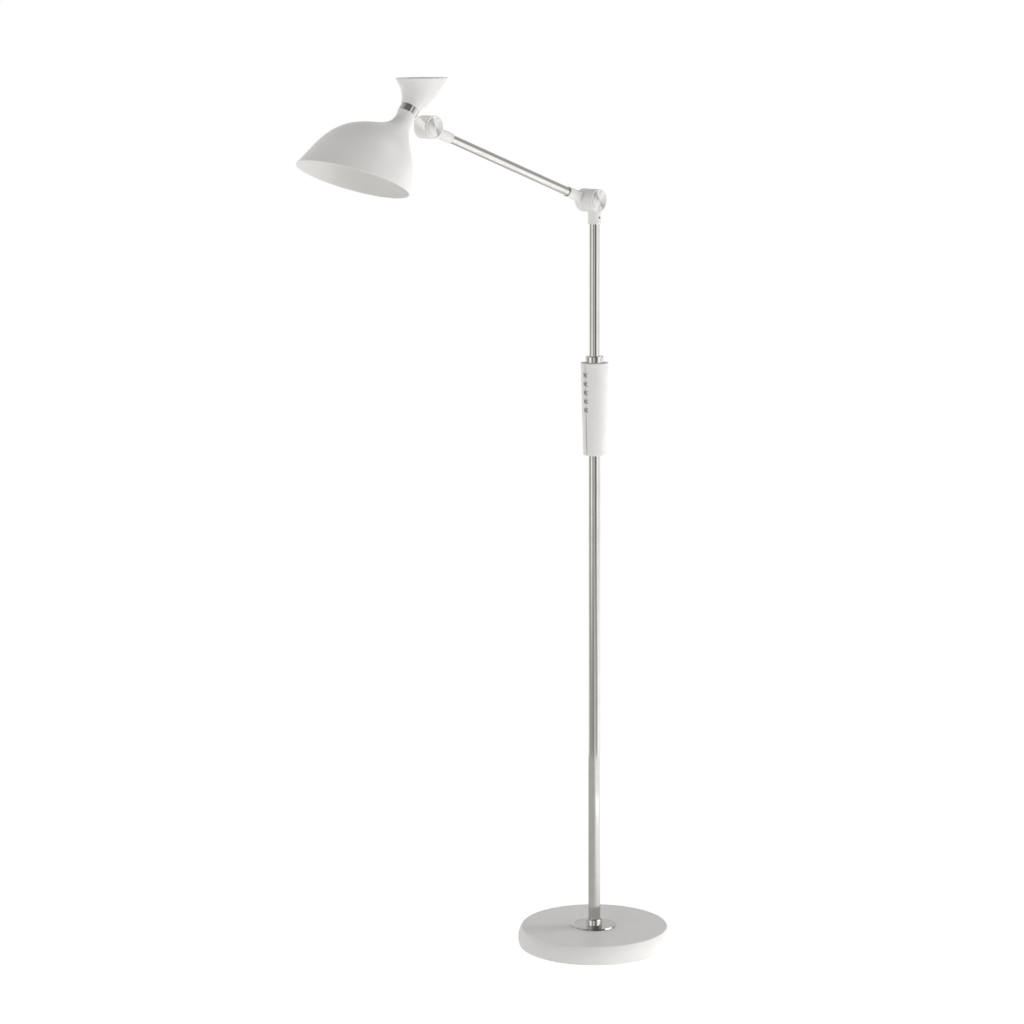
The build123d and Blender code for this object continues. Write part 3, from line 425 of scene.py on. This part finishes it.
finishes = {
    "white_paint": white_paint(),
    "polished_nickel": nickel("polished_nickel"),
    "white_leather": leather(),
    "lace_thread": lace_cord(),
    "grip_core": moulded("grip_core", (0.80, 0.79, 0.76), 0.55),
    "cast_iron": cast_iron(),
    "zinc_steel": zinc(),
    "black_steel": black_steel(),
    "base_felt": felt(),
    "black_rubber": moulded("black_rubber", (0.03, 0.03, 0.03), 0.6, 0.03),
    "nylon": moulded("nylon", (0.75, 0.74, 0.7), 0.42),
    "brass": brass(),
    "holder_plastic": moulded("holder_plastic", (0.78, 0.77, 0.74), 0.35, 0.008),
    "bulb_glass": opal_glass(),
}


slope_rounds = 20              # more than enough for arm_slope to settle
collar_lean = 0.165            # slope that the light on the foot collar suggests


def arm_slope():
    """Angle by which the arm's tube rises towards the head, from the far corners of its box."""
    low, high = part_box("arm_tube")
    thickness = high.y - low.y
    length_x = high.x - low.x
    length_z = high.z - low.z
    slope = math.atan2(length_z, length_x)
    for _ in range(slope_rounds):
        rise = length_z - thickness * math.cos(slope)
        run = length_x - thickness * math.sin(slope)
        slope = math.atan2(rise, run)
    return slope


def paint_cad_nodes():
    """Gives every CAD node its finish, by its slot in the record."""
    arm_turn = (0, math.pi / 2 - arm_slope(), 0)
    arm_finish = nickel("arm_nickel", turn=arm_turn)
    ring_finish = nickel("ring_nickel", turn=arm_turn, roughness=(0.30, 0.38))
    for part in frame["record"]["subparts"]:
        name = part["node"]
        slot = part["material_slot"]
        if slot == "turned_nickel":
            finish = turned_nickel(name)
        elif name == "arm_tube":
            finish = arm_finish
        elif name == "arm_end_rings":
            finish = ring_finish
        elif name == "foot_collar":
            finish = nickel("collar_nickel", taper=collar_lean)
        else:
            finish = finishes[slot]
        mesh = frame["nodes"][name].data
        mesh.materials.clear()
        mesh.materials.append(finish)


paint_cad_nodes()


# ---- modelled pieces -----------------------------------------------------------------------------------

def new_piece(name, mesh_data, finish, body):
    """Links a mesh as a piece of the object: smooth, painted, and riding on its body."""
    piece = bpy.data.objects.new(name, mesh_data)
    bpy.context.scene.collection.objects.link(piece)
    mesh_data.materials.append(finish)
    for face in mesh_data.polygons:
        face.use_smooth = True
    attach(piece, body)
    return piece


def cord_mesh(name, path, radius, around, plies, ply_depth, lay):
    """Closed tube along a list of points, with a surface of twisted plies.

    ply_depth is the depth of the grooves as a share of the radius, and lay is their turn in radians a metre.
    """
    bm = bmesh.new()
    rings = []
    side = None
    travelled = 0.0
    for i, point in enumerate(path):
        ahead = path[min(i + 1, len(path) - 1)] - path[max(i - 1, 0)]
        ahead.normalize()
        if side is None:
            side = ahead.orthogonal().normalized()
        side = (side - ahead * side.dot(ahead)).normalized()
        other = ahead.cross(side)
        if i:
            travelled += (point - path[i - 1]).length
        ring = []
        for k in range(around):
            angle = 2 * math.pi * k / around
            groove = 1 - abs(math.cos((angle * plies - travelled * lay) / 2))
            reach = radius * (1 - ply_depth * groove)
            out = side * math.cos(angle) * reach + other * math.sin(angle) * reach
            ring.append(bm.verts.new(point + out))
        rings.append(ring)
    for a, b in zip(rings, rings[1:]):
        for k in range(around):
            bm.faces.new((a[k], a[(k + 1) % around], b[(k + 1) % around], b[k]))
    bm.faces.new(reversed(rings[0]))
    bm.faces.new(rings[-1])
    bmesh.ops.recalc_face_normals(bm, faces=bm.faces)
    mesh = bpy.data.meshes.new(name)
    bm.to_mesh(mesh)
    bm.free()
    return mesh


# ---- leather grip --------------------------------------------------------------------------------------

leather_thick = 2.0 * MM
laced_gap = 0.7 * MM           # between the leather's edges where they are laced
slit_gap = 1.9 * MM            # and at the open lower end
lace_count = 5
lace_radius = 0.75 * MM
lace_reach = 3.1 * MM          # holes' distance from the seam
lace_rise = 2.9 * MM           # holes' height above and below the crossing
lace_sides = 18
lace_plies = 3
ply_depth = 0.16               # share of the lace's radius
ply_lay = 1900.0               # radians a metre
lace_steps = 36                # along one leg
lace_dip = 1.1 * MM            # each end of a leg lies this deep in its hole
lace_lap = 1.5 * MM            # the upper leg of a crossing clears the lower one by this
hem = 6.0 * MM                 # height of the folded hems
hem_step = 0.14 * MM           # the doubled leather of a hem stands this proud
hem_crease = 0.26 * MM         # depth of the crease beside it
seam_welt = 0.22 * MM          # the leather rises this much along the seam
lace_pinch = 0.32 * MM         # and is drawn in this much by each crossing
hole_depth = 1.3 * MM
hole_radius = 0.85 * MM
sway_depth = 0.10 * MM         # slow unevenness of the hide
near_seam = 8.0 * MM           # the mesh is finest this close to the seam
row_step = 1.3 * MM            # height of the mesh's rows
lace_row_step = 0.33 * MM      # and near the laces
merge_gap = 0.004 * MM

grip_low, grip_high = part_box("grip_leather")
lacing_low, lacing_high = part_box("grip_lacing")


def reach_at(node, z):
    """Largest distance from the pole's axis among a CAD node's points at a height."""
    points = (v.co for v in frame["nodes"][node].data.vertices)
    return max(math.hypot(co.x, co.y) for co in points if abs(co.z - z) < 0.1 * MM)


grip_foot_radius = reach_at("grip_leather", grip_low.z)
grip_head_radius = reach_at("grip_leather", grip_high.z)
lace_height = 2 * (lace_rise + lace_radius)
lace_pitch = (lacing_high.z - lacing_low.z - lace_height) / (lace_count - 1)
lace_heights = [lacing_low.z + lace_height / 2 + i * lace_pitch for i in range(lace_count)]


def grip_radius(z):
    share = (z - grip_low.z) / (grip_high.z - grip_low.z)
    return grip_foot_radius + (grip_head_radius - grip_foot_radius) * share


def hump(distance, width):
    """Smooth bump: 1 at a distance of 0, fading over the width."""
    return math.exp(-(distance / width) ** 2)


def seam_gap(z):
    """Gap between the leather's edges: held by the laces, and opening towards the lower end."""
    laced_from = lace_heights[0] - lace_pitch / 2
    share = min(1.0, max(0.0, (laced_from - z) / (laced_from - grip_low.z)))
    return laced_gap + (slit_gap - laced_gap) * share ** 0.6


def relief(d, z):
    """How far the leather's face stands proud at a distance from the seam's edge and a height."""
    rise = seam_welt * hump(d - 1.5 * MM, 0.9 * MM)
    for centre in lace_heights:
        rise -= lace_pinch * hump(z - centre, 2.4 * MM) * hump(d, 2.6 * MM)
        for hole in (-lace_rise, lace_rise):
            off = math.hypot(d - (lace_reach - laced_gap / 2), z - centre - hole)
            rise -= hole_depth * math.exp(-(off / hole_radius) ** 4)
    for from_end in (z - grip_low.z, grip_high.z - z):
        rise += hem_step * (1 / (1 + math.exp((from_end - hem) / (0.25 * MM))))
        rise -= hem_crease * hump(from_end - hem, 0.5 * MM)
    return rise


def round_edge(distance):
    """Share of the full thickness at a distance from an edge that is rounded over."""
    share = min(1.0, distance / (leather_thick / 2))
    return math.sqrt(1 - (1 - share) ** 2)


def stations(*stops):
    """Rising list of positions from (start, end, step) stretches."""
    found = []
    for start, end, step in stops:
        count = max(1, round((end - start) / step))
        found += [start + (end - start) * i / count for i in range(count)]
    return found + [stops[-1][1]]


def leather_mesh():
    """One sheet wrapped round the core: outer and inner faces that meet in rounded edges."""
    edge = leather_thick / 2
    rim = ((0, 0.3 * MM, 0.08 * MM), (0.3 * MM, edge, 0.2 * MM))
    rows = stations(*rim, (edge, hem - 1.5 * MM, 1.0 * MM), (hem - 1.5 * MM, hem + 1.5 * MM, 0.25 * MM))
    heights = [grip_low.z + r for r in rows]
    z = heights[-1]
    top_rows = [grip_high.z - r for r in reversed(rows)]
    while z < top_rows[0] - 1.0 * MM:
        near = min(abs(z - c) for c in lace_heights)
        z += lace_row_step if near < lace_rise + 1.6 * MM else row_step
        heights.append(min(z, top_rows[0] - 0.6 * MM))
    heights += top_rows
    mean = math.pi * (grip_foot_radius + grip_head_radius) / 2 - leather_thick
    across = stations(*rim, (edge, 5 * MM, 0.33 * MM), (5 * MM, near_seam, 0.75 * MM),
                      (near_seam, mean, 2.0 * MM))
    vertices = []
    faces = []
    columns = 2 * len(across) - 1
    for z in heights:
        outer = grip_radius(z)
        middle = outer - leather_thick / 2
        gap = seam_gap(z)
        half_round = math.pi * middle - gap / 2
        ends = round_edge(z - grip_low.z) * round_edge(grip_high.z - z)
        for j in range(columns):
            side = 1 if j < len(across) else -1
            d = across[j if side > 0 else columns - 1 - j]
            if d > near_seam:
                d = near_seam + (d - near_seam) * (half_round - near_seam) / (mean - near_seam)
            angle = math.pi - side * (gap / 2 + d) / middle
            full = round_edge(d) * ends
            sway = sway_depth * noise.noise(Vector((math.cos(angle), math.sin(angle), z * 45)) * 1.6)
            up = middle + full * (leather_thick / 2 + relief(d, z) + sway)
            down = middle - full * leather_thick / 2
            for reach in (up, down):
                vertices.append((reach * math.cos(angle), reach * math.sin(angle), z))
    for i in range(len(heights) - 1):
        for j in range(columns - 1):
            a, b = 2 * (i * columns + j), 2 * (i * columns + j + 1)
            c, d = 2 * ((i + 1) * columns + j + 1), 2 * ((i + 1) * columns + j)
            faces.append((a, b, c, d))
            faces.append((a + 1, d + 1, c + 1, b + 1))
    mesh = bpy.data.meshes.new("leather_grip")
    mesh.from_pydata(vertices, [], faces)
    bm = bmesh.new()
    bm.from_mesh(mesh)
    bmesh.ops.remove_doubles(bm, verts=bm.verts, dist=merge_gap)
    bmesh.ops.recalc_face_normals(bm, faces=bm.faces)
    bm.to_mesh(mesh)
    bm.free()
    return mesh


def lace_path(centre, slope):
    """One leg of a crossing: out of a hole, over the seam and down into the opposite hole."""
    points = []
    over = lace_lap if slope > 0 else 0.0
    for i in range(lace_steps + 1):
        u = 2 * i / lace_steps - 1
        z = centre + slope * u * lace_rise
        y = u * lace_reach
        rise = -lace_dip + (lace_dip + lace_radius) * (1 - abs(u) ** 7) + over * hump(u, 0.42)
        reach = grip_radius(z) + rise
        angle = math.pi - y / grip_radius(z)
        points.append(Vector((reach * math.cos(angle), reach * math.sin(angle), z)))
    return points


def make_grip():
    """Leather wrap with folded hems and a laced front seam."""
    wrap = new_piece("leather_grip", leather_mesh(), finishes["white_leather"], "base")
    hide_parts("grip_leather")
    bm = bmesh.new()
    for centre in lace_heights:
        for slope in (-1, 1):
            route = lace_path(centre, slope)
            leg = cord_mesh("leg", route, lace_radius, lace_sides, lace_plies, ply_depth, ply_lay)
            bm.from_mesh(leg)
            bpy.data.meshes.remove(leg)
    mesh = bpy.data.meshes.new("grip_laces")
    bm.to_mesh(mesh)
    bm.free()
    laces = new_piece("grip_laces", mesh, finishes["lace_thread"], "base")
    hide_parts("grip_lacing")


make_grip()


# ---- stage ---------------------------------------------------------------------------------------------

def make_floor():
    """Plain white sweep that glows a little, so that it stays pale and lights the lamp from below."""
    bm = bmesh.new()
    bmesh.ops.create_circle(bm, cap_ends=True, segments=floor_sides, radius=floor_radius)
    mesh = bpy.data.meshes.new("floor")
    bm.to_mesh(mesh)
    bm.free()
    floor = bpy.data.objects.new("floor", mesh)
    bpy.context.scene.collection.objects.link(floor)
    f = Finish("floor_white", (floor_tone,) * 3, 0.9)
    f.set("Specular IOR Level", 0.0)
    f.set("Emission Color", (1.0, 1.0, 1.0, 1.0))
    to_right = f.add("ShaderNodeVectorMath", operation="DOT_PRODUCT")
    f.feed(to_right.inputs[0], f.place)
    to_right.inputs[1].default_value = (math.cos(camera_heading), -math.sin(camera_heading), 0)
    given = f.span(to_right.outputs["Value"], floor_dim, floor_bright, *floor_turns)
    seen = f.add("ShaderNodeLightPath").outputs["Is Camera Ray"]
    f.set("Emission Strength", f.math("MAXIMUM", f.math("MULTIPLY", seen, floor_seen), given))
    f.bump(f.noise(6.0, 2.0), 0.2 * MM)
    mesh.materials.append(f.material)


def make_studio_light():
    """Soft surround: bright on the lamp's right and behind it, dim at the left, front and overhead."""
    world = bpy.data.worlds.new("studio")
    bpy.context.scene.world = world
    world.use_nodes = True
    tree = world.node_tree
    background = tree.nodes["Background"]
    add = tree.nodes.new
    link = tree.links.new

    def dot(vector):
        node = add("ShaderNodeVectorMath")
        node.operation = "DOT_PRODUCT"
        link(direction, node.inputs[0])
        node.inputs[1].default_value = vector
        return node.outputs["Value"]

    def ramp(value, stops):
        node = add("ShaderNodeValToRGB")
        link(value, node.inputs["Fac"])
        elements = node.color_ramp.elements
        node.color_ramp.interpolation = "EASE"
        for position, level in stops:
            element = elements.new(position)
            element.color = (level, level, level, 1.0)
        elements.remove(elements[0])
        elements.remove(elements[-1])
        return node.outputs["Color"]

    def calculate(operation, first, second):
        node = add("ShaderNodeMath")
        node.operation = operation
        for socket, value in zip(node.inputs, (first, second)):
            if isinstance(value, bpy.types.NodeSocket):
                link(value, socket)
            else:
                socket.default_value = value
        return node.outputs[0]

    direction = add("ShaderNodeTexCoord").outputs["Generated"]
    toward_camera = Vector((-math.sin(camera_heading), -math.cos(camera_heading), 0))
    to_right = Vector((math.cos(camera_heading), -math.sin(camera_heading), 0))
    turn = calculate("ARCTAN2", dot(to_right), dot(toward_camera))
    round_share = calculate("MULTIPLY_ADD", turn, 0.5 / math.pi)
    round_share.node.inputs[2].default_value = 0.5
    height_share = calculate("MULTIPLY_ADD", dot((0, 0, 1)), 0.5)
    height_share.node.inputs[2].default_value = 0.5
    rings = [ramp(round_share, [(angle / 360 + 0.5, level / ramp_top) for angle, level in ring])
             for ring in (below_ring, low_ring, level_ring, high_ring, upper_ring)]

    def rising(start, end):
        node = add("ShaderNodeMapRange")
        node.interpolation_type = "SMOOTHSTEP"
        link(dot((0, 0, 1)), node.inputs["Value"])
        node.inputs["From Min"].default_value = math.sin(math.radians(start))
        node.inputs["From Max"].default_value = math.sin(math.radians(end))
        return node.outputs["Result"]

    def between(share, first, second):
        step = calculate("MULTIPLY", calculate("SUBTRACT", second, first), share)
        return calculate("ADD", first, step)

    around = rings[0]
    for (start, end), ring in zip(ring_steps, rings[1:]):
        around = between(rising(start, end), around, ring)
    upward = ramp(height_share, [(math.sin(math.radians(angle)) / 2 + 0.5, level) for angle, level in lift])
    level = calculate("MULTIPLY", around, upward)
    level = calculate("MULTIPLY", level, ramp_top / lift[0][1])
    seen = add("ShaderNodeLightPath").outputs["Is Camera Ray"]
    shown = add("ShaderNodeMix")
    link(seen, shown.inputs["Factor"])
    link(level, shown.inputs["A"])
    shown.inputs["B"].default_value = 1.0
    link(shown.outputs["Result"], background.inputs["Strength"])
    background.inputs["Color"].default_value = (1.0, 1.0, 1.0, 1.0)


def make_camera():
    data = bpy.data.cameras.new("photo_camera")
    camera = bpy.data.objects.new("photo_camera", data)
    bpy.context.scene.collection.objects.link(camera)
    data.sensor_width = sensor_width
    data.lens = lens
    data.clip_end = 100.0
    back = Vector((-math.sin(camera_heading), -math.cos(camera_heading), 0))
    right = Vector((math.cos(camera_heading), -math.sin(camera_heading), 0))
    place = back * camera_distance - right * camera_shift_left + Vector((0, 0, camera_height))
    turn = (Matrix.Rotation(-camera_heading, 4, "Z") @ Matrix.Rotation(math.pi / 2 - camera_pitch, 4, "X")
            @ Matrix.Rotation(-camera_roll, 4, "Z"))
    camera.matrix_world = Matrix.Translation(place) @ turn
    bpy.context.scene.camera = camera


def make_light_box(name, angle, distance, height, width, tall, power):
    """Softbox for the paint and the leather; the nickel mirrors the surround alone."""
    data = bpy.data.lights.new(name, "AREA")
    data.shape = "RECTANGLE"
    data.size = width
    data.size_y = tall
    data.energy = power
    box = bpy.data.objects.new(name, data)
    bpy.context.scene.collection.objects.link(box)
    turn = math.radians(angle) - camera_heading
    place = Vector((math.sin(turn), -math.cos(turn), 0)) * distance + Vector((0, 0, height))
    box.location = place
    box.rotation_euler = (Vector((0, 0, height)) - place).to_track_quat("-Z", "Y").to_euler()
    box.visible_glossy = False
    box.visible_camera = False


make_floor()
make_light_box("strip", *strip_box)
make_light_box("key", *key_box)
make_studio_light()
make_camera()
bpy.context.scene.view_settings.view_transform = "Standard"
